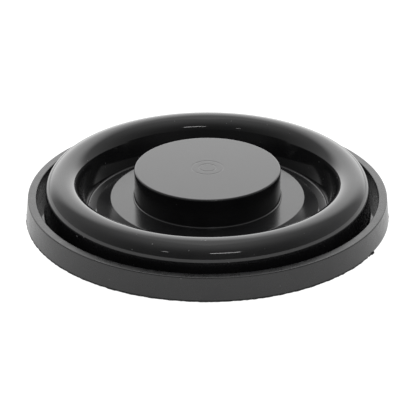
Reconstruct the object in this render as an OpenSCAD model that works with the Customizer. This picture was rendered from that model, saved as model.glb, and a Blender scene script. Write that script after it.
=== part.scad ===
// Low-profile sink plunger. A rigid rim seals round a drain, a rolled rubber
// diaphragm hangs inside it, and a hub clamped to the diaphragm's web is pressed
// down or pulled up to push air and water through the drain.
// Millimetres, +Z up. The origin is the centre of the foot, on the sink.

/* [Rim] */
// Outer radius of the rim at its top land
rim_r = 64; // [60:0.5:72]
// Height of the rim's top land over the sink
rim_top_z = 8.7; // [7:0.1:11]
// Width of the rim's flat top land
rim_land_w = 3; // [3:0.1:4]
// How much wider the rim is at its foot than at its land
rim_flare = 0.85; // [0.2:0.05:1.5]
// Radius on the rim's two top edges
rim_edge_r = 0.35; // [0.1:0.05:0.6]

/* [Foot seal] */
// Thickness of the soft ring under the rim
seal_t = 0.8; // [0.6:0.1:1]
// Width of the soft ring, from its outer edge inwards
seal_w = 6.5; // [6:0.1:7]
// How far the soft ring's trimmed edge stands out past the rim
seal_proud = 0.25; // [0:0.05:0.5]
// Depth of the two sealing grooves in the soft ring's underside
seal_groove_d = 0.3; // [0.1:0.05:0.4]

/* [Rolled diaphragm] */
// Wall thickness of the rubber roll
roll_t = 1.5; // [1.2:0.1:2]
// Radius from the centre line to the middle of the roll
roll_mid_r = 51.45; // [50:0.05:52]
// Outer radius of the roll's round crest, in section
roll_r = 6.15; // [5.5:0.05:6.3]
// Height of the centre of the round crest
roll_mid_z = 10.25; // [9:0.05:12]
// Lean of the roll's inner wall from upright, in degrees
inner_lean = 16; // [8:1:20]
// Lean of the roll's outer wall from upright, in degrees
outer_lean = 3; // [1:1:6]
// Fillet at the foot of each roll wall
roll_foot_r = 0.6; // [0.5:0.1:1]
// Height of the top of the web that the hub clamps
web_top_z = 3.25; // [3:0.05:3.5]
// Fall of the web from the hub out to the roll, in degrees
web_fall = 10; // [0:1:12]
// Thickness of the web
web_t = 1.35; // [1.2:0.05:1.5]
// Thickness of the flange under the rim
flange_t = 1.15; // [0.9:0.05:1.3]
// Thickness of the lip that stands up into the rim
lip_t = 1.4; // [1.2:0.1:1.5]
// Height of the lip over the flange
lip_h = 2; // [1.8:0.1:3]
// Wire diameter of the hoop moulded into the lip
hoop_d = 0.8; // [0.5:0.1:0.9]

/* [Hub] */
// Radius of the clamp plate's flat top
plate_r = 34.6; // [32:0.1:35]
// Thickness of the clamp plate
plate_t = 3.8; // [3:0.1:4]
// Slope of the plate's bevel, which the rubber rolls over, in degrees
plate_bevel = 35; // [30:1:60]
// Height of the upright land at the foot of the bevel
plate_land = 0.2; // [0.2:0.05:0.6]
// Radius on the clamp plate's top edge
plate_edge_r = 0.3; // [0.1:0.05:0.8]
// Radius of the press boss
boss_r = 26; // [24:0.5:28]
// Height of the boss's top face over the sink
boss_top_z = 17.8; // [16:0.1:20]
// Radius on the boss's top edge
boss_edge_r = 0.6; // [0.2:0.1:1.5]
// Flare at the boss's foot, where it meets the plate
boss_foot_r = 0.5; // [0.2:0.1:0.8]
// Wall thickness of the hollow boss
boss_wall = 2.4; // [1.6:0.1:3]
// Depth of the recess in the plate that the boss stands in
recess_d = 1.2; // [0.8:0.1:1.6]
// Gap between the boss's foot and the edge of its recess
recess_gap = 0.1; // [0.05:0.05:0.3]
// Radius of the stainless backing disc under the web
disc_r = 38; // [34:0.5:39]
// Thickness of the backing disc
disc_t = 1.7; // [1.6:0.1:1.7]

/* [Fasteners] */
// Number of hub screws
screw_count = 4; // [3:1:6]
// Radius of the circle that the screws stand on
screw_circle_r = 17; // [14:0.5:18]
// Thread diameter of the screws
screw_d = 3; // [2.5:0.5:3]
// Length of the screws, over the countersunk head
screw_len = 10; // [9:1:10]
// Diameter of the countersunk head
head_d = 5.5; // [5:0.1:6]
// Across-flats size of the hexagon socket in the head
socket_af = 2; // [1.5:0.5:2]
// Length of the brass threaded inserts
insert_len = 5; // [4:0.5:6]
// Diameter of the brass threaded inserts
insert_d = 4.3; // [4.1:0.1:4.6]

/* [Hidden] */
$fn = 96;

fit_gap = 0.02;
screw_play = 0.15;
corner_steps = 6;
crest_steps = 24;

rim_in_r = rim_r - rim_land_w;
rim_foot_r = rim_r + rim_flare;
seal_out_r = rim_foot_r + seal_proud;
seal_in_r = seal_out_r - seal_w;
seal_groove_w = 0.8;

flange_top_z = seal_t + flange_t;
slot_r = rim_in_r + (rim_land_w - lip_t) / 2;
slot_top_z = flange_top_z + lip_h + 0.1;
hoop_r = slot_r + lip_t / 2;
hoop_z = flange_top_z + lip_h - lip_t / 2;

web_z = web_top_z - web_t;
disc_z = web_z - disc_t;
disc_edge = 0.3;
plate_top_z = web_top_z + plate_t;
plate_foot_r = plate_r + (plate_t - plate_land) / tan(plate_bevel);
plate_edge_in = plate_edge_r * tan(plate_bevel / 2);
boss_z = plate_top_z - recess_d;
boss_ceiling_z = boss_top_z - boss_wall;
boss_in_r = boss_r - boss_wall;
pillar_r = insert_d / 2 + 1.5;
rib_t = 1.6;
rib_h = 3.5;

head_land = 0.2;
head_cone = (head_d - screw_d) / 2;
socket_d = socket_af / cos(30);
socket_depth = 0.9;

// Points along an arc, from angle a to angle b
function arc(centre, r, a, b, steps = corner_steps) =
    [for (i = [0 : steps])
        let (angle = a + (b - a) * i / steps)
        [centre[0] + r * cos(angle), centre[1] + r * sin(angle)]];

// Radius of a leaning roll wall at height z. The side is 1 for the outer wall and -1 for the inner
// wall, and crest is the section radius of the crest that the wall is tangent to.
function wall_r(side, lean, crest, z) =
    roll_mid_r + side * (crest / cos(lean) + (roll_mid_z - z) * tan(lean));

// Centre of a fillet of radius roll_foot_r, at height z, that touches a leaning roll wall
function fillet_centre(side, lean, z) =
    [wall_r(side, lean, roll_r, z) + side * roll_foot_r / cos(lean), z];

// Height of the centre of the inner fillet, which also touches the falling part of the web
inner_fillet_z =
    (web_top_z + roll_foot_r * cos(web_fall)
     + tan(web_fall) * (plate_foot_r + roll_foot_r * sin(web_fall) - fillet_centre(-1, inner_lean, 0)[0]))
    / (1 + tan(web_fall) * tan(inner_lean));

// Turns a section round the centre line
module turned() {
    rotate_extrude() children();
}

// Repeats the children at each screw
module at_screws() {
    for (i = [0 : screw_count - 1])
        rotate([0, 0, i * 360 / screw_count]) translate([screw_circle_r, 0, 0]) children();
}

// Section of the rubber moulding: over the web, the roll and the flange, up round the lip, and back
// along the underside
module diaphragm_section() {
    crest = [roll_mid_r, roll_mid_z];
    hollow_r = roll_r - roll_t;
    difference() {
        polygon(concat(
            [[0, web_top_z], [plate_foot_r, web_top_z]],
            arc(fillet_centre(-1, inner_lean, inner_fillet_z), roll_foot_r, 270 - web_fall, 360 - inner_lean),
            arc(crest, roll_r, 180 - inner_lean, outer_lean, crest_steps),
            arc(fillet_centre(1, outer_lean, flange_top_z + roll_foot_r), roll_foot_r, 180 + outer_lean, 270),
            [[slot_r, flange_top_z], [slot_r, flange_top_z + lip_h],
             [slot_r + lip_t, flange_top_z + lip_h], [slot_r + lip_t, seal_t],
             [wall_r(1, outer_lean, hollow_r, seal_t), seal_t]],
            arc(crest, hollow_r, outer_lean, 180 - inner_lean, crest_steps),
            [[wall_r(-1, inner_lean, hollow_r, web_z), web_z], [0, web_z]]
        ));
        translate([hoop_r, hoop_z]) circle(d = hoop_d + 2 * fit_gap);
    }
}

// Rigid outer ring: a flat top land, a flared outer wall and a slot below for the lip
module rim_ring() {
    color([0.10, 0.10, 0.11]) turned() polygon(concat(
        [[rim_foot_r, seal_t]],
        arc([rim_r - rim_edge_r, rim_top_z - rim_edge_r], rim_edge_r, 0, 90),
        arc([rim_in_r + rim_edge_r, rim_top_z - rim_edge_r], rim_edge_r, 90, 180),
        [[rim_in_r, flange_top_z], [slot_r, flange_top_z], [slot_r, slot_top_z],
         [slot_r + lip_t, slot_top_z], [slot_r + lip_t, seal_t]]
    ));
}

// Soft ring bonded under the rim and the flange, with two sealing grooves
module foot_seal() {
    color([0.07, 0.07, 0.075]) turned() difference() {
        translate([seal_in_r, 0]) square([seal_w, seal_t]);
        for (i = [1 : 2])
            translate([seal_in_r + i * seal_w / 3 - seal_groove_w / 2, -1])
                square([seal_groove_w, 1 + seal_groove_d]);
    }
}

// Spring-steel hoop moulded into the lip
module bead_hoop() {
    color("silver") turned() translate([hoop_r, hoop_z]) circle(d = hoop_d);
}

// One rubber moulding: web, rolled arch, flange under the rim and lip up into it
module roll_diaphragm() {
    color([0.05, 0.05, 0.055]) difference() {
        turned() diaphragm_section();
        at_screws() translate([0, 0, web_z - 1]) cylinder(d = screw_d + screw_play, h = web_t + 2);
    }
}

// Stainless disc under the web, countersunk for the screws
module backing_disc() {
    color("silver") difference() {
        turned() polygon([
            [0, disc_z], [disc_r - disc_edge, disc_z], [disc_r, disc_z + disc_edge],
            [disc_r, web_z - disc_edge], [disc_r - disc_edge, web_z], [0, web_z]
        ]);
        at_screws() translate([0, 0, disc_z]) screw_body(screw_play / 2, disc_t + 1);
    }
}

// Bevelled plate on the web, with a shallow recess that the boss stands in
module clamp_plate() {
    color([0.12, 0.12, 0.13]) difference() {
        turned() polygon(concat(
            [[0, web_top_z], [plate_foot_r, web_top_z], [plate_foot_r, web_top_z + plate_land]],
            arc([plate_r - plate_edge_in, plate_top_z - plate_edge_r], plate_edge_r, 90 - plate_bevel, 90),
            [[0, plate_top_z]]
        ));
        translate([0, 0, boss_z]) cylinder(r = boss_r + boss_foot_r + recess_gap, h = recess_d + 1);
        at_screws() translate([0, 0, web_top_z - 1]) cylinder(d = screw_d + screw_play, h = plate_t + 2);
    }
}

// Hollow moulded boss with a pillar for each screw and ribs under its top
module press_boss() {
    color([0.12, 0.12, 0.13]) difference() {
        union() {
            difference() {
                turned() polygon(concat(
                    [[0, boss_z], [boss_r + boss_foot_r, boss_z]],
                    arc([boss_r + boss_foot_r, plate_top_z + boss_foot_r], boss_foot_r, 270, 180),
                    arc([boss_r - boss_edge_r, boss_top_z - boss_edge_r], boss_edge_r, 0, 90),
                    [[0, boss_top_z]]
                ));
                translate([0, 0, boss_z - 1]) cylinder(r = boss_in_r, h = boss_ceiling_z - boss_z + 1);
            }
            at_screws() translate([0, 0, boss_z]) cylinder(r = pillar_r, h = boss_top_z - boss_wall / 2 - boss_z);
            for (i = [0 : screw_count - 1])
                rotate([0, 0, i * 360 / screw_count])
                    translate([0, -rib_t / 2, boss_ceiling_z - rib_h])
                        cube([boss_r - boss_wall / 2, rib_t, rib_h + boss_wall / 2]);
        }
        at_screws() {
            translate([0, 0, boss_z - 1]) cylinder(d = insert_d + 2 * fit_gap, h = 1 + insert_len);
            translate([0, 0, boss_z]) cylinder(d = screw_d + screw_play, h = insert_len + 1.5);
        }
    }
}

// Brass threaded inserts in the boss's pillars
module screw_inserts() {
    color("goldenrod") at_screws() translate([0, 0, boss_z]) difference() {
        cylinder(d = insert_d, h = insert_len);
        translate([0, 0, -1]) cylinder(d = screw_d + 2 * fit_gap, h = insert_len + 2);
    }
}

// Outline of a countersunk screw, head down, grown all round by play
module screw_body(play, len) {
    translate([0, 0, -1]) cylinder(d = head_d + 2 * play, h = 1 + head_land);
    translate([0, 0, head_land]) cylinder(d1 = head_d + 2 * play, d2 = screw_d + 2 * play, h = head_cone);
    cylinder(d = screw_d + 2 * play, h = len);
}

// Countersunk screws, driven up through the disc, the web and the plate
module hub_screws() {
    color("silver") at_screws() translate([0, 0, disc_z]) difference() {
        screw_body(0, screw_len);
        translate([0, 0, -2]) cylinder(d = head_d + 1, h = 2);
        translate([0, 0, -1]) cylinder(d = socket_d, h = 1 + socket_depth, $fn = 6);
    }
}

rim_ring();
foot_seal();
bead_hoop();
roll_diaphragm();
backing_disc();
clamp_plate();
press_boss();
screw_inserts();
hub_screws();
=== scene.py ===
# Low-profile sink plunger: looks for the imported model, in metres, in its own frame.
from math import atan2, cos, degrees, hypot, pi, radians, sin, tan

import bpy
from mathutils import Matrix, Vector


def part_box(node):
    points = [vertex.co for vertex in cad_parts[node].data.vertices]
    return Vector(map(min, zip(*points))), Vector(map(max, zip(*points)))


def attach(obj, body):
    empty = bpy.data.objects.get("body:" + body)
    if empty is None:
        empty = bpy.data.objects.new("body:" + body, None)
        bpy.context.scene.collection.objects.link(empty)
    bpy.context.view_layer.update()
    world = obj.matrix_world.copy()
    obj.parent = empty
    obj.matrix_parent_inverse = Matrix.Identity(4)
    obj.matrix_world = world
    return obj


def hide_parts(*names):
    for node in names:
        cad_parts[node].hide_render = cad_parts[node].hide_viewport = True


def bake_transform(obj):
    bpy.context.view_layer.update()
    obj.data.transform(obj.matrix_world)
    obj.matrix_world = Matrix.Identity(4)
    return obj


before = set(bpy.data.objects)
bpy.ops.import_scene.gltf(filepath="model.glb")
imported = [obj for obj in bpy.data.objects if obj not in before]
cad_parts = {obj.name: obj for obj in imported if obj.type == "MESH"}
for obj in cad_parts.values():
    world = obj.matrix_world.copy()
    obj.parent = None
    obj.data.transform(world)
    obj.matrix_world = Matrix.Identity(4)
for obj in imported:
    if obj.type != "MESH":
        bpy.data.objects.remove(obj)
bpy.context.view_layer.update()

MM = 0.001
RING_SIDES = 288
SMALL_SIDES = 48
SMOOTH_ANGLE = radians(32)
CENTRE_R = 1.0 * MM    # where a piece's outline starts beside the centre line
HOLD = 0.2 * MM        # from a rounded edge to the loop that keeps the face beside it flat

# Sizes that the frame gives
rim_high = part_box("rim_ring")[1]
seal_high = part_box("foot_seal")[1]
roll_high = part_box("roll_diaphragm")[1]
plate_low, plate_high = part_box("clamp_plate")
boss_low, boss_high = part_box("press_boss")
disc_low, disc_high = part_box("backing_disc")
screw_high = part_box("hub_screws")[1]
insert_low, insert_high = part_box("screw_inserts")

RIM_FOOT_R = rim_high.y
RIM_TOP_Z = rim_high.z
RIM_FLARE = 0.85 * MM
RIM_LAND_W = 3.0 * MM
RIM_EDGE_R = 0.35 * MM
SLOT_R = rim_high.y - RIM_FLARE - RIM_LAND_W + 0.8 * MM
SLOT_PLAY = 0.1 * MM

SEAL_TOP_Z = seal_high.z
SEAL_OUT_R = seal_high.x - 0.02 * MM
SEAL_IN_R = seal_high.y - 6.5 * MM

LIP_T = 1.4 * MM
LIP_H = 2.0 * MM
FLANGE_TOP_Z = SEAL_TOP_Z + 1.15 * MM
ROLL_T = 1.5 * MM
ROLL_MID_R = 51.45 * MM
ROLL_R = 6.15 * MM
ROLL_MID_Z = roll_high.z - ROLL_R
INNER_LEAN = radians(16)
OUTER_LEAN = radians(3)
ROLL_FOOT_R = 0.6 * MM
WEB_FALL = radians(10)
WEB_TOP_Z = plate_low.z
WEB_Z = disc_high.z

PLATE_FOOT_R = plate_high.y
PLATE_R = 34.6 * MM
PLATE_LAND = 0.2 * MM
PLATE_TOP_Z = plate_high.z
PLATE_EDGE_R = 0.3 * MM
RECESS_GAP = 0.1 * MM
RECESS_EDGE_R = 0.05 * MM

BOSS_FOOT_R = boss_high.y
BOSS_FOOT_FILLET = 0.5 * MM
BOSS_R = BOSS_FOOT_R - BOSS_FOOT_FILLET
BOSS_Z = boss_low.z
BOSS_TOP_Z = boss_high.z
BOSS_EDGE_R = 0.6 * MM
BOSS_WALL = 2.4 * MM

SCREW_D = 3.0 * MM
SCREW_PLAY = 0.15 * MM
SCREW_CIRCLE_R = 17.0 * MM
SCREW_COUNT = 4
HEAD_D = 5.5 * MM
HEAD_LAND = 0.2 * MM
INSERT_R = insert_high.x - SCREW_CIRCLE_R


# ---------------------------------------------------------------- modelling

def only(piece):
    """Selects this piece and nothing else."""
    bpy.ops.object.select_all(action="DESELECT")
    piece.select_set(True)
    bpy.context.view_layer.objects.active = piece


def apply_place(piece):
    """Puts a piece's place and turn into its mesh."""
    only(piece)
    bpy.ops.object.transform_apply(location=True, rotation=True, scale=True)


def smooth(piece):
    """Shades a piece smooth, apart from its sharp edges."""
    only(piece)
    bpy.ops.object.shade_smooth_by_angle(angle=SMOOTH_ANGLE)


def arc(centre_r, centre_z, radius, start, end, steps=6):
    """Points of a round stretch of an outline, from angle start to angle end, in degrees."""
    points = []
    for i in range(steps + 1):
        angle = radians(start + (end - start) * i / steps)
        points.append((centre_r + radius * cos(angle), centre_z + radius * sin(angle)))
    return points


def turn_piece(name, outline, closed, sides=RING_SIDES):
    """Turns an outline of (radius, height) points round the centre line: a circle is extruded and
    resized from point to point, then bridged shut, or capped at both ends."""
    bpy.ops.object.select_all(action="DESELECT")
    radius, height = outline[0]
    bpy.ops.mesh.primitive_circle_add(vertices=sides, radius=radius, location=(0, 0, height))
    piece = bpy.context.object
    piece.name = name
    piece.data.name = name
    apply_place(piece)
    bpy.ops.object.mode_set(mode="EDIT")
    bpy.ops.mesh.select_all(action="SELECT")
    if not closed:
        bpy.ops.mesh.edge_face_add()
    stretch = outline[1:] + outline[:1] if closed else outline[1:]
    for next_radius, next_height in stretch:
        bpy.ops.mesh.extrude_region_move(
            TRANSFORM_OT_translate={"value": (0, 0, next_height - height)})
        grow = next_radius / radius
        bpy.ops.transform.resize(value=(grow, grow, 1), center_override=(0, 0, next_height))
        radius, height = next_radius, next_height
    bpy.ops.mesh.select_all(action="SELECT")
    bpy.ops.mesh.remove_doubles(threshold=0.001 * MM)
    bpy.ops.mesh.normals_make_consistent(inside=False)
    bpy.ops.object.mode_set(mode="OBJECT")
    smooth(piece)
    return piece


def cut_away(piece, cutter):
    """Takes the cutter's shape out of the piece and removes the cutter."""
    only(piece)
    boolean = piece.modifiers.new("cut", "BOOLEAN")
    boolean.operation = "DIFFERENCE"
    boolean.solver = "EXACT"
    boolean.object = cutter
    bpy.ops.object.modifier_apply(modifier=boolean.name)
    bpy.data.objects.remove(cutter, do_unlink=True)


def place_copies(first, name, count):
    """Copies a piece round the centre line, each copy with its own mesh."""
    copies = [first]
    first.name = name + "_1"
    for i in range(1, count):
        only(first)
        bpy.ops.object.duplicate(linked=False)
        copy = bpy.context.object
        copy.name = f"{name}_{i + 1}"
        copy.data.name = copy.name
        copy.rotation_euler = (0, 0, 2 * pi * i / count)
        apply_place(copy)
        copies.append(copy)
    return copies


def push_edge(piece, inner_r, start, end, grow):
    """Draws the outer edge of a ring in or out, between two angles in degrees round the centre line."""
    only(piece)
    bpy.ops.object.mode_set(mode="EDIT")
    bpy.ops.mesh.select_mode(type="VERT")
    bpy.ops.mesh.select_all(action="DESELECT")
    bpy.ops.object.mode_set(mode="OBJECT")
    for vertex in piece.data.vertices:
        angle = degrees(atan2(vertex.co.y, vertex.co.x))
        vertex.select = hypot(vertex.co.x, vertex.co.y) > inner_r and start < angle < end
    bpy.ops.object.mode_set(mode="EDIT")
    bpy.ops.transform.resize(value=(grow, grow, 1), center_override=(0, 0, 0))
    bpy.ops.object.mode_set(mode="OBJECT")


def move_out(piece, distance):
    """Moves a piece made on the centre line out along +X, into its mesh."""
    piece.location = (distance, 0, 0)
    apply_place(piece)


# ---------------------------------------------------------------- materials

def new_material(name, roughness, metallic=0.0):
    """A material with its node tree, its Principled shader and Object coordinates."""
    material = bpy.data.materials.new(name)
    material.use_nodes = True
    shader = material.node_tree.nodes["Principled BSDF"]
    shader.inputs["Roughness"].default_value = roughness
    shader.inputs["Metallic"].default_value = metallic
    place = material.node_tree.nodes.new("ShaderNodeTexCoord")
    return material, material.node_tree, shader, place.outputs["Object"]


def noise(tree, place, scale, detail=4.0, roughness=0.55):
    """A noise field on the piece, scale in waves to the metre."""
    field = tree.nodes.new("ShaderNodeTexNoise")
    field.inputs["Scale"].default_value = scale
    field.inputs["Detail"].default_value = detail
    field.inputs["Roughness"].default_value = roughness
    tree.links.new(place, field.inputs["Vector"])
    return field.outputs["Fac"]


def spread(tree, fac, low, high, start=0.3, end=0.7):
    """Maps a field's middle range onto low to high."""
    ramp = tree.nodes.new("ShaderNodeMapRange")
    ramp.inputs["From Min"].default_value = start
    ramp.inputs["From Max"].default_value = end
    ramp.inputs["To Min"].default_value = low
    ramp.inputs["To Max"].default_value = high
    tree.links.new(fac, ramp.inputs["Value"])
    return ramp.outputs["Result"]


def colours(tree, fac, dark, light, start=0.35, end=0.65):
    """Blends two colours by a field."""
    ramp = tree.nodes.new("ShaderNodeValToRGB")
    ramp.color_ramp.elements[0].position = start
    ramp.color_ramp.elements[0].color = (*dark, 1)
    ramp.color_ramp.elements[1].position = end
    ramp.color_ramp.elements[1].color = (*light, 1)
    tree.links.new(fac, ramp.inputs["Fac"])
    return ramp.outputs["Color"]


def bump(tree, height, shader, strength, distance, under=None):
    """Raises the surface by a field, over another bump where one is given."""
    node = tree.nodes.new("ShaderNodeBump")
    node.inputs["Strength"].default_value = strength
    node.inputs["Distance"].default_value = distance
    tree.links.new(height, node.inputs["Height"])
    if under is not None:
        tree.links.new(under, node.inputs["Normal"])
    tree.links.new(node.outputs["Normal"], shader.inputs["Normal"])
    return node.outputs["Normal"]


def dusty(tree, place, colour, scale, dust):
    """Scatters a few pale specks of dust over a colour."""
    specks = noise(tree, place, scale, 1.0)
    mix = tree.nodes.new("ShaderNodeMix")
    mix.data_type = "RGBA"
    tree.links.new(spread(tree, specks, 0.0, 1.0, dust, dust + 0.04), mix.inputs["Factor"])
    tree.links.new(colour, mix.inputs["A"])
    mix.inputs["B"].default_value = (0.13, 0.13, 0.13, 1)
    return mix.outputs["Result"]


def turning_rings(tree, place, scale, distortion):
    """Fine rings round the centre line, as turning or brushing leaves them."""
    rings = tree.nodes.new("ShaderNodeTexWave")
    rings.wave_type = "RINGS"
    rings.rings_direction = "Z"
    rings.inputs["Scale"].default_value = scale
    rings.inputs["Distortion"].default_value = distortion
    rings.inputs["Detail"].default_value = 3.0
    tree.links.new(place, rings.inputs["Vector"])
    return rings.outputs["Fac"]


def satin_plastic(name, rough_low, rough_high, grain, marks):
    """Black moulded plastic with a fine satin grain, slow changes of sheen and faint tool marks."""
    material, tree, shader, place = new_material(name, rough_low)
    tone = noise(tree, place, 90.0)
    black = colours(tree, tone, (0.0078, 0.0078, 0.0084), (0.0112, 0.0112, 0.0119))
    tree.links.new(dusty(tree, place, black, 640.0, 0.79), shader.inputs["Base Color"])
    sheen = noise(tree, place, 240.0, 6.0, 0.65)
    tree.links.new(spread(tree, sheen, rough_low, rough_high), shader.inputs["Roughness"])
    fine = noise(tree, place, 2600.0, 3.0)
    rings = bump(tree, turning_rings(tree, place, 420.0, 5.0), shader, marks, 0.02 * MM)
    bump(tree, fine, shader, grain, 0.02 * MM, under=rings)
    return material


def moulded_rubber(name, rough_low, rough_high, dust):
    """Glossy black rubber, with a faint orange peel and a few dull specks of dust."""
    material, tree, shader, place = new_material(name, rough_low)
    tone = noise(tree, place, 60.0)
    black = colours(tree, tone, (0.0085, 0.0085, 0.0090), (0.0125, 0.0125, 0.0132))
    tree.links.new(dusty(tree, place, black, 760.0, 0.77), shader.inputs["Base Color"])
    specks = noise(tree, place, 900.0, 2.0)
    tree.links.new(spread(tree, specks, rough_low, rough_high, dust, dust + 0.1),
                   shader.inputs["Roughness"])
    peel = noise(tree, place, 130.0, 2.0)
    bump(tree, peel, shader, 0.25, 0.05 * MM)
    return material


def brushed_steel(name, tint, rough_low, rough_high):
    """Stainless steel with concentric brushing round the centre line."""
    material, tree, shader, place = new_material(name, rough_low, metallic=1.0)
    rings = turning_rings(tree, place, 900.0, 6.0)
    worn = noise(tree, place, 70.0)
    tree.links.new(colours(tree, worn, tuple(0.88 * c for c in tint), tint),
                   shader.inputs["Base Color"])
    tree.links.new(spread(tree, rings, rough_low, rough_high, 0.2, 0.8),
                   shader.inputs["Roughness"])
    bump(tree, rings, shader, 0.15, 0.01 * MM)
    return material


def turned_metal(name, tint, rough_low, rough_high):
    """Small turned metal parts, with a fine uneven polish."""
    material, tree, shader, place = new_material(name, rough_low, metallic=1.0)
    worn = noise(tree, place, 700.0, 5.0)
    tree.links.new(colours(tree, worn, tuple(0.82 * c for c in tint), tint),
                   shader.inputs["Base Color"])
    tree.links.new(spread(tree, worn, rough_low, rough_high), shader.inputs["Roughness"])
    bump(tree, worn, shader, 0.2, 0.01 * MM)
    return material


def finish_piece(piece, material, body, slot, *nodes):
    """Gives a piece its material and its body, and hides the nodes that it stands for. The slot is not
    used.
    """
    piece.data.materials.clear()
    piece.data.materials.append(material)
    if body is not None:
        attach(piece, body)
    if nodes:
        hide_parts(*nodes)


# ---------------------------------------------------------------- the rubber roll's outline

def wall_r(side, lean, crest, z):
    """Radius of a leaning roll wall at height z; side is 1 for the outer wall, -1 for the inner."""
    return ROLL_MID_R + side * (crest / cos(lean) + (ROLL_MID_Z - z) * tan(lean))


def fillet_centre(side, lean, z):
    """Centre of a foot fillet, at height z, that touches a leaning wall."""
    return wall_r(side, lean, ROLL_R, z) + side * ROLL_FOOT_R / cos(lean), z


def inner_fillet():
    """Centre of the inner fillet, which also touches the part of the web that falls to the roll."""
    run = PLATE_FOOT_R + ROLL_FOOT_R * sin(WEB_FALL) - fillet_centre(-1, INNER_LEAN, 0)[0]
    height = WEB_TOP_Z + ROLL_FOOT_R * cos(WEB_FALL) + tan(WEB_FALL) * run
    return fillet_centre(-1, INNER_LEAN, height / (1 + tan(WEB_FALL) * tan(INNER_LEAN)))


def roll_outline():
    """The rubber moulding's section: web, roll, flange and lip, then back along the underside."""
    inner, outer = degrees(INNER_LEAN), degrees(OUTER_LEAN)
    hollow_r = ROLL_R - ROLL_T
    web_centre = 0.4 * MM
    corner = 0.25 * MM
    lip_top = FLANGE_TOP_Z + LIP_H
    under_in = wall_r(-1, INNER_LEAN, hollow_r, WEB_Z)
    under_out = wall_r(1, OUTER_LEAN, hollow_r, SEAL_TOP_Z)
    outline = [(web_centre, WEB_TOP_Z), (PLATE_R, WEB_TOP_Z), (PLATE_FOOT_R, WEB_TOP_Z)]
    outline += arc(*inner_fillet(), ROLL_FOOT_R, 270 - degrees(WEB_FALL), 360 - inner, 8)
    outline += arc(ROLL_MID_R, ROLL_MID_Z, ROLL_R, 180 - inner, outer, 36)
    outer_fillet = fillet_centre(1, OUTER_LEAN, FLANGE_TOP_Z + ROLL_FOOT_R)
    outline += arc(*outer_fillet, ROLL_FOOT_R, 180 + outer, 270, 8)
    outline += [(SLOT_R, FLANGE_TOP_Z), (SLOT_R, lip_top), (SLOT_R + LIP_T, lip_top)]
    outline += [(SLOT_R + LIP_T, SEAL_TOP_Z), (under_out + corner, SEAL_TOP_Z)]
    outline += [(under_out, SEAL_TOP_Z + corner)]
    outline += arc(ROLL_MID_R, ROLL_MID_Z, hollow_r, outer, 180 - inner, 24)
    outline += [(under_in, WEB_Z + corner), (under_in - corner, WEB_Z), (web_centre, WEB_Z)]
    return outline


# ---------------------------------------------------------------- pieces

def make_rim():
    """The rigid rim: crisp land, flared wall, and the slot that holds the rubber lip."""
    top_out, top_in = RIM_FOOT_R - RIM_FLARE, RIM_FOOT_R - RIM_FLARE - RIM_LAND_W
    hold = RIM_EDGE_R + HOLD
    outline = [(RIM_FOOT_R, SEAL_TOP_Z), (top_out, RIM_TOP_Z - hold)]
    outline += arc(top_out - RIM_EDGE_R, RIM_TOP_Z - RIM_EDGE_R, RIM_EDGE_R, 0, 90)
    outline += [(top_out - hold, RIM_TOP_Z), (top_in + hold, RIM_TOP_Z)]
    outline += arc(top_in + RIM_EDGE_R, RIM_TOP_Z - RIM_EDGE_R, RIM_EDGE_R, 90, 180)
    outline += [(top_in, RIM_TOP_Z - hold)]
    slot_top = FLANGE_TOP_Z + LIP_H + SLOT_PLAY
    outline += [(top_in, FLANGE_TOP_Z), (SLOT_R, FLANGE_TOP_Z), (SLOT_R, slot_top)]
    outline += [(SLOT_R + LIP_T, slot_top), (SLOT_R + LIP_T, SEAL_TOP_Z)]
    return turn_piece("rim_moulding", outline, closed=True)


def make_seal():
    """The soft foot ring, with two sealing grooves and a rough trimmed edge."""
    groove_w, groove_d = 0.8 * MM, 0.3 * MM
    chamfer, trimmed_w = 0.15 * MM, 0.3 * MM
    width = seal_high.y - SEAL_IN_R
    outline = [(SEAL_OUT_R, chamfer), (SEAL_OUT_R, SEAL_TOP_Z)]
    outline += [(SEAL_IN_R, SEAL_TOP_Z), (SEAL_IN_R, 0)]
    for i in (1, 2):
        middle = SEAL_IN_R + i * width / 3
        outline += [(middle - groove_w / 2, 0), (middle - groove_w / 2, groove_d)]
        outline += [(middle + groove_w / 2, groove_d), (middle + groove_w / 2, 0)]
    outline += [(SEAL_OUT_R - chamfer, 0)]
    piece = turn_piece("foot_seal_ring", outline, closed=True, sides=720)
    edge = piece.vertex_groups.new(name="trimmed_edge")
    edge_points = [vertex.index for vertex in piece.data.vertices
                   if hypot(vertex.co.x, vertex.co.y) > SEAL_OUT_R - trimmed_w]
    edge.add(edge_points, 1.0, "REPLACE")
    rough = bpy.data.textures.new("trimmed_edge", "CLOUDS")
    rough.noise_scale = 1.6 * MM
    rough.noise_depth = 3
    only(piece)
    wave = piece.modifiers.new("trimmed_edge", "DISPLACE")
    wave.texture = rough
    wave.texture_coords = "LOCAL"
    wave.vertex_group = edge.name
    wave.strength = 0.5 * MM
    wave.mid_level = 1.0
    bpy.ops.object.modifier_apply(modifier=wave.name)
    # A long stretch is trimmed short, with a small tab left standing beside it.
    trimmed_r = SEAL_OUT_R - 0.8 * MM
    push_edge(piece, trimmed_r, -28.5, -9.0, 0.993)
    push_edge(piece, trimmed_r, -30.4, -29.0, 1.006)
    push_edge(piece, trimmed_r, -32.5, -31.6, 0.993)
    push_edge(piece, trimmed_r, -3.0, -2.2, 1.002)
    return piece


def make_roll():
    """The rubber moulding, which rolls between the rim and the hub."""
    return turn_piece("roll_rubber", roll_outline(), closed=True)


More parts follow.
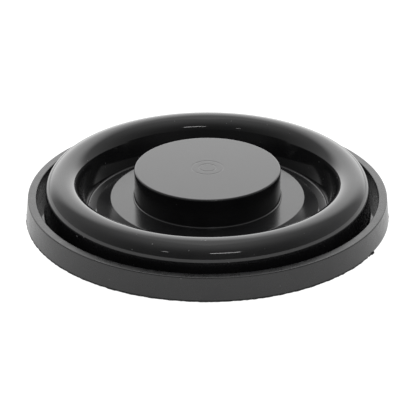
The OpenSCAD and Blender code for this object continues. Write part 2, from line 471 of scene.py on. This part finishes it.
def make_plate():
    """The clamp plate, with its bevel and the recess that the boss stands in."""
    recess_r = BOSS_FOOT_R + RECESS_GAP
    bevel_run, bevel_rise = PLATE_FOOT_R - PLATE_R, PLATE_TOP_Z - WEB_TOP_Z - PLATE_LAND
    bevel = atan2(bevel_rise, bevel_run)
    edge_in = PLATE_EDGE_R * tan(bevel / 2)
    upper_hold, recess_hold = 0.3 * MM, 0.4 * MM
    outline = [(CENTRE_R, WEB_TOP_Z), (PLATE_FOOT_R, WEB_TOP_Z)]
    outline += [(PLATE_FOOT_R, WEB_TOP_Z + PLATE_LAND)]
    outline += [(PLATE_FOOT_R - HOLD, WEB_TOP_Z + PLATE_LAND + HOLD * tan(bevel))]
    outline += [(PLATE_R + upper_hold, PLATE_TOP_Z - upper_hold * tan(bevel))]
    outline += arc(PLATE_R - edge_in, PLATE_TOP_Z - PLATE_EDGE_R, PLATE_EDGE_R, 90 - degrees(bevel), 90)
    outline += [(PLATE_R - edge_in - HOLD, PLATE_TOP_Z), (recess_r + recess_hold, PLATE_TOP_Z)]
    outline += arc(recess_r + RECESS_EDGE_R, PLATE_TOP_Z - RECESS_EDGE_R, RECESS_EDGE_R, 90, 180, 4)
    outline += [(recess_r, BOSS_Z), (CENTRE_R, BOSS_Z)]
    return turn_piece("clamp_plate_disc", outline, closed=False)


def make_boss():
    """The hollow boss: a drum with a flared foot, a soft top edge and two faint moulding rings."""
    roof_z, inner_r = BOSS_Z + 9 * MM, BOSS_R - BOSS_WALL
    ring_half_w, ring_hold, ring_depth = 0.16 * MM, 0.4 * MM, 0.06 * MM
    outline = [(CENTRE_R, roof_z), (inner_r, roof_z), (inner_r, BOSS_Z)]
    outline += [(BOSS_FOOT_R, BOSS_Z), (BOSS_FOOT_R, PLATE_TOP_Z)]
    outline += arc(BOSS_FOOT_R, PLATE_TOP_Z + BOSS_FOOT_FILLET, BOSS_FOOT_FILLET, 270, 180)
    outline += [(BOSS_R, PLATE_TOP_Z + 1 * MM), (BOSS_R, BOSS_TOP_Z - BOSS_EDGE_R - HOLD)]
    outline += arc(BOSS_R - BOSS_EDGE_R, BOSS_TOP_Z - BOSS_EDGE_R, BOSS_EDGE_R, 0, 90, 8)
    outline += [(BOSS_R - BOSS_EDGE_R - HOLD, BOSS_TOP_Z)]
    for ring_r in (5.6 * MM, 3.0 * MM):
        outline += [(ring_r + ring_hold, BOSS_TOP_Z), (ring_r + ring_half_w, BOSS_TOP_Z)]
        outline += [(ring_r, BOSS_TOP_Z - ring_depth)]
        outline += [(ring_r - ring_half_w, BOSS_TOP_Z), (ring_r - ring_hold, BOSS_TOP_Z)]
    outline += [(CENTRE_R, BOSS_TOP_Z)]
    return turn_piece("press_boss_drum", outline, closed=False)


def make_disc():
    """The stainless backing disc with rolled edges and countersinks."""
    edge = 0.3 * MM
    outline = [(CENTRE_R, disc_low.z)]
    outline += arc(disc_high.y - edge, disc_low.z + edge, edge, 270, 360, 4)
    outline += arc(disc_high.y - edge, disc_high.z - edge, edge, 0, 90, 4)
    outline += [(CENTRE_R, disc_high.z)]
    piece = turn_piece("backing_disc_plate", outline, closed=False)
    head_r, hole_r = HEAD_D / 2 + SCREW_PLAY / 2, SCREW_D / 2 + SCREW_PLAY / 2
    overrun = 1 * MM
    sink = [(head_r, disc_low.z - overrun), (head_r, disc_low.z + HEAD_LAND),
            (hole_r, disc_low.z + HEAD_LAND + (HEAD_D - SCREW_D) / 2),
            (hole_r, disc_high.z + overrun)]
    for i in range(SCREW_COUNT):
        cutter = turn_piece("countersink", sink, closed=False, sides=SMALL_SIDES)
        move_out(cutter, SCREW_CIRCLE_R)
        cutter.rotation_euler = (0, 0, 2 * pi * i / SCREW_COUNT)
        apply_place(cutter)
        cut_away(piece, cutter)
    smooth(piece)
    return piece


def make_screws():
    """Four countersunk screws with hexagon sockets, modelled once and copied."""
    head_r, shank_r, base = HEAD_D / 2, SCREW_D / 2, disc_low.z
    middle_r, chamfer = 0.3 * MM, 0.1 * MM
    outline = [(middle_r, base), (head_r - chamfer, base), (head_r, base + chamfer)]
    outline += [(head_r, base + HEAD_LAND), (shank_r, base + HEAD_LAND + head_r - shank_r)]
    pitch, turns, thread_depth, point_in = 0.5 * MM, 12, 0.25 * MM, 0.3 * MM
    thread_z = screw_high.z - pitch * turns
    for i in range(turns):
        z = thread_z + i * pitch
        outline += [(shank_r, z), (shank_r - thread_depth, z + pitch / 2)]
    outline += [(shank_r - point_in, screw_high.z), (middle_r, screw_high.z)]
    screw = turn_piece("hub_screw", outline, closed=False, sides=SMALL_SIDES)
    bpy.ops.object.select_all(action="DESELECT")
    # A hexagon 2 mm across its flats; half of its length goes into the head.
    socket_r, socket_length = 1.155 * MM, 1.8 * MM
    bpy.ops.mesh.primitive_cylinder_add(vertices=6, radius=socket_r, depth=socket_length,
                                        location=(0, 0, base))
    socket = bpy.context.object
    apply_place(socket)
    cut_away(screw, socket)
    smooth(screw)
    move_out(screw, SCREW_CIRCLE_R)
    return place_copies(screw, "hub_screw", SCREW_COUNT)


def make_inserts():
    """Four brass inserts, each two bands with a waist between, modelled once and copied."""
    thread_gap = 0.02 * MM
    bore = SCREW_D / 2 + thread_gap
    low, high = insert_low.z, insert_high.z
    waist, waist_r = (low + high) / 2, INSERT_R - 0.4 * MM
    band_gap, waist_half = 0.4 * MM, 0.2 * MM
    outline = [(bore, low), (INSERT_R, low), (INSERT_R, waist - band_gap)]
    outline += [(waist_r, waist - waist_half), (waist_r, waist + waist_half)]
    outline += [(INSERT_R, waist + band_gap), (INSERT_R, high), (bore, high)]
    insert = turn_piece("screw_insert", outline, closed=True, sides=SMALL_SIDES)
    move_out(insert, SCREW_CIRCLE_R)
    return place_copies(insert, "screw_insert", SCREW_COUNT)


rim_satin = satin_plastic("rim_satin", 0.22, 0.34, 0.25, 0.04)
hub_satin = satin_plastic("hub_satin", 0.14, 0.20, 0.10, 0.12)
roll_gloss = moulded_rubber("roll_gloss", 0.07, 0.16, 0.66)
seal_matt = moulded_rubber("seal_matt", 0.45, 0.6, 0.4)
disc_steel = brushed_steel("disc_steel", (0.62, 0.62, 0.63), 0.2, 0.38)
screw_steel = turned_metal("screw_steel", (0.60, 0.60, 0.61), 0.2, 0.35)
insert_brass = turned_metal("insert_brass", (0.78, 0.60, 0.30), 0.22, 0.4)
hoop_steel = turned_metal("hoop_steel", (0.45, 0.45, 0.47), 0.3, 0.45)

finish_piece(make_rim(), rim_satin, "rim", "rim_plastic", "rim_ring")
finish_piece(make_seal(), seal_matt, "rim", "seal_rubber", "foot_seal")
finish_piece(make_plate(), hub_satin, "hub", "plate_plastic", "clamp_plate")
finish_piece(make_boss(), hub_satin, "hub", "boss_plastic", "press_boss")
finish_piece(make_disc(), disc_steel, "hub", "stainless_disc", "backing_disc")
for screw in make_screws():
    finish_piece(screw, screw_steel, "hub", "screw_steel", "hub_screws")
for insert in make_inserts():
    finish_piece(insert, insert_brass, "hub", "insert_brass", "screw_inserts")

roll = make_roll()
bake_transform(roll)
finish_piece(roll, roll_gloss, None, "roll_rubber", "roll_diaphragm")

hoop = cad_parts["bead_hoop"]
hoop.data.materials.clear()
hoop.data.materials.append(hoop_steel)


# ---------------------------------------------------------------- floor, light and camera

def pale_floor():
    """A pale, softly glowing floor with a drain hole, clear when it is seen from below."""
    top = -0.02 * MM
    near_r, middle_r, floor_r = 0.075, 0.5, 2.5
    outline = [(SEAL_IN_R, top), (near_r, top), (middle_r, top), (floor_r, top)]
    floor = turn_piece("floor", outline, closed=False, sides=256)
    bpy.ops.object.mode_set(mode="EDIT")
    bpy.ops.mesh.select_all(action="DESELECT")
    bpy.ops.object.mode_set(mode="OBJECT")
    for face in floor.data.polygons:
        face.select = len(face.vertices) > 4    # the two caps, not the rings of quads
    bpy.ops.object.mode_set(mode="EDIT")
    bpy.ops.mesh.delete(type="FACE")
    bpy.ops.object.mode_set(mode="OBJECT")
    material = bpy.data.materials.new("floor_white")
    material.use_nodes = True
    shader = material.node_tree.nodes["Principled BSDF"]
    shader.inputs["Base Color"].default_value = (0.25, 0.25, 0.25, 1)
    shader.inputs["Roughness"].default_value = 0.9
    shader.inputs["Specular IOR Level"].default_value = 0.0
    shader.inputs["Emission Color"].default_value = (1, 1, 1, 1)
    shader.inputs["Emission Strength"].default_value = 1.0
    tree = material.node_tree
    side = tree.nodes.new("ShaderNodeNewGeometry")
    clear = tree.nodes.new("ShaderNodeBsdfTransparent")
    either = tree.nodes.new("ShaderNodeMixShader")
    tree.links.new(side.outputs["Backfacing"], either.inputs["Fac"])
    tree.links.new(shader.outputs["BSDF"], either.inputs[1])
    tree.links.new(clear.outputs["BSDF"], either.inputs[2])
    tree.links.new(either.outputs["Shader"], tree.nodes["Material Output"].inputs["Surface"])
    floor.data.materials.append(material)


def panel_light(name, place, aim, width, height, radiance):
    """A soft rectangular lamp of the given radiance, turned towards a point."""
    lamp = bpy.data.lights.new(name, "AREA")
    lamp.shape = "RECTANGLE"
    lamp.size = width
    lamp.size_y = height
    lamp.energy = radiance * pi * width * height
    holder = bpy.data.objects.new(name, lamp)
    bpy.context.scene.collection.objects.link(holder)
    holder.location = place
    holder.rotation_euler = (Vector(aim) - Vector(place)).to_track_quat("-Z", "Y").to_euler()


def calculate(tree, operation, first, second, third=None):
    """One step of arithmetic between fields or plain numbers."""
    node = tree.nodes.new("ShaderNodeMath")
    node.operation = operation
    for socket, value in zip(node.inputs, (first, second, third)):
        if isinstance(value, (int, float)):
            socket.default_value = value
        elif value is not None:
            tree.links.new(value, socket)
    return node.outputs["Value"]


def fade(tree, value, start, end, low, high):
    """A smooth change from low to high as a value goes from start to end."""
    node = tree.nodes.new("ShaderNodeMapRange")
    node.interpolation_type = "SMOOTHSTEP"
    node.inputs["From Min"].default_value = start
    node.inputs["From Max"].default_value = end
    node.inputs["To Min"].default_value = low
    node.inputs["To Max"].default_value = high
    tree.links.new(value, node.inputs["Value"])
    return node.outputs["Result"]


def tent(world):
    """A white tent: a bright soft window at the back, moderate overhead, dim behind the camera."""
    tree = world.node_tree
    direction = tree.nodes.new("ShaderNodeTexCoord").outputs["Generated"]
    split = tree.nodes.new("ShaderNodeSeparateXYZ")
    tree.links.new(direction, split.inputs["Vector"])
    x, y, z = split.outputs["X"], split.outputs["Y"], split.outputs["Z"]
    # facing_back is the cosine of the angle from straight back; z is the sine of the height.
    flat_square = calculate(tree, "MULTIPLY_ADD", x, x, calculate(tree, "MULTIPLY", y, y))
    level = calculate(tree, "SQRT", flat_square, 0)
    facing_back = calculate(tree, "DIVIDE", y, level)
    width = fade(tree, facing_back, 0.62, 0.96, 0.0, 1.0)
    height = fade(tree, z, 0.62, 0.86, 1.65, 0.45)
    above_floor = fade(tree, z, -0.3, -0.03, 0.0, 1.0)
    window = calculate(tree, "MULTIPLY", calculate(tree, "MULTIPLY", width, height), above_floor)
    sides = fade(tree, y, -1.1, 1.0, 0.15, 0.75)
    upward = calculate(tree, "MAXIMUM", z, 0.0)
    top = calculate(tree, "MULTIPLY", calculate(tree, "POWER", upward, 6.0), 0.6)
    total = calculate(tree, "ADD", window, calculate(tree, "ADD", sides, top))
    background = tree.nodes["Background"]
    background.inputs["Color"].default_value = (1, 1, 1, 1)
    tree.links.new(total, background.inputs["Strength"])


def studio():
    """The tent, and two thin strip lamps high behind the camera."""
    world = bpy.data.worlds.new("studio")
    world.use_nodes = True
    bpy.context.scene.world = world
    tent(world)
    centre = (0, 0, 0.01)
    panel_light("long_strip", (0.21, -0.92, 0.74), centre, width=0.36, height=0.05, radiance=10)
    panel_light("short_strip", (-0.50, -0.87, 0.65), centre, width=0.08, height=0.04, radiance=7)


def camera():
    """The camera, nine rim radii away and looking down at the front of the plunger."""
    land_r = RIM_FOOT_R - RIM_FLARE
    distance, elevation = 9 * land_r, radians(26.78)
    aim = Vector((0.0029 * land_r, 0, 0.0265 * land_r))
    data = bpy.data.cameras.new("camera")
    data.sensor_width = 36.0
    data.lens = 138.6
    holder = bpy.data.objects.new("camera", data)
    bpy.context.scene.collection.objects.link(holder)
    holder.location = aim + distance * Vector((0, -cos(elevation), sin(elevation)))
    holder.rotation_euler = (aim - holder.location).to_track_quat("-Z", "Y").to_euler()
    bpy.context.scene.camera = holder


pale_floor()
studio()
camera()
bpy.context.scene.view_settings.view_transform = "Standard"
